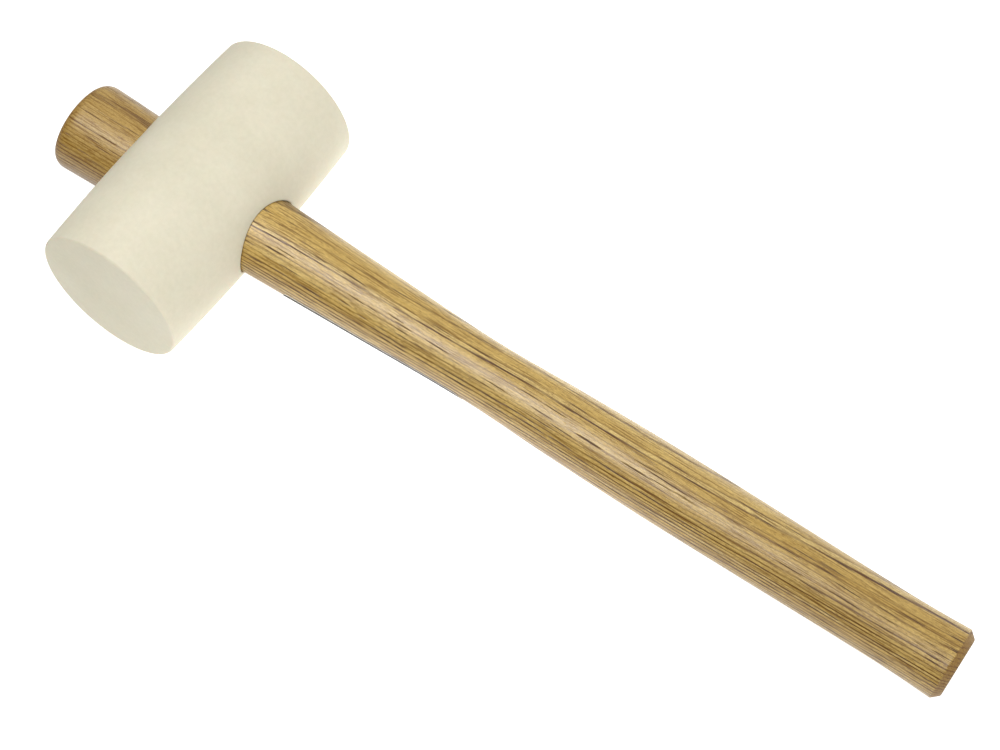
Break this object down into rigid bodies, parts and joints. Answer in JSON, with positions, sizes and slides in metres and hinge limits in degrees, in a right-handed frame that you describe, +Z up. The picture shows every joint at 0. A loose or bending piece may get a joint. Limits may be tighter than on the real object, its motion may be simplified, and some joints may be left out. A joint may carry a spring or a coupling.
{
  "type": "rubber mallet",
  "caption": "Mallet with a barrel-shaped solid rubber head driven onto a flared, oval wooden handle that runs right through it.",
  "frame": {"origin": "centre of the bottom of the bounding box, on the surface that the lying tool rests on", "axes": "+X along the tool towards the butt, +Y along the head's axis, +Z up"},
  "size_m": [0.3908, 0.1114, 0.064],
  "materials": {
    "head_rubber": "matte, very finely mottled cream rubber",
    "handle_oak": "clear satin lacquer over straight-grained oak",
    "label_paper": "smooth coated paper, plain dark field with a pale margin"
  },
  "bodies": {
    "root": {"head": "head_rubber", "handle": "handle_oak", "handle_label": "label_paper"}
  },
  "joints": []
}
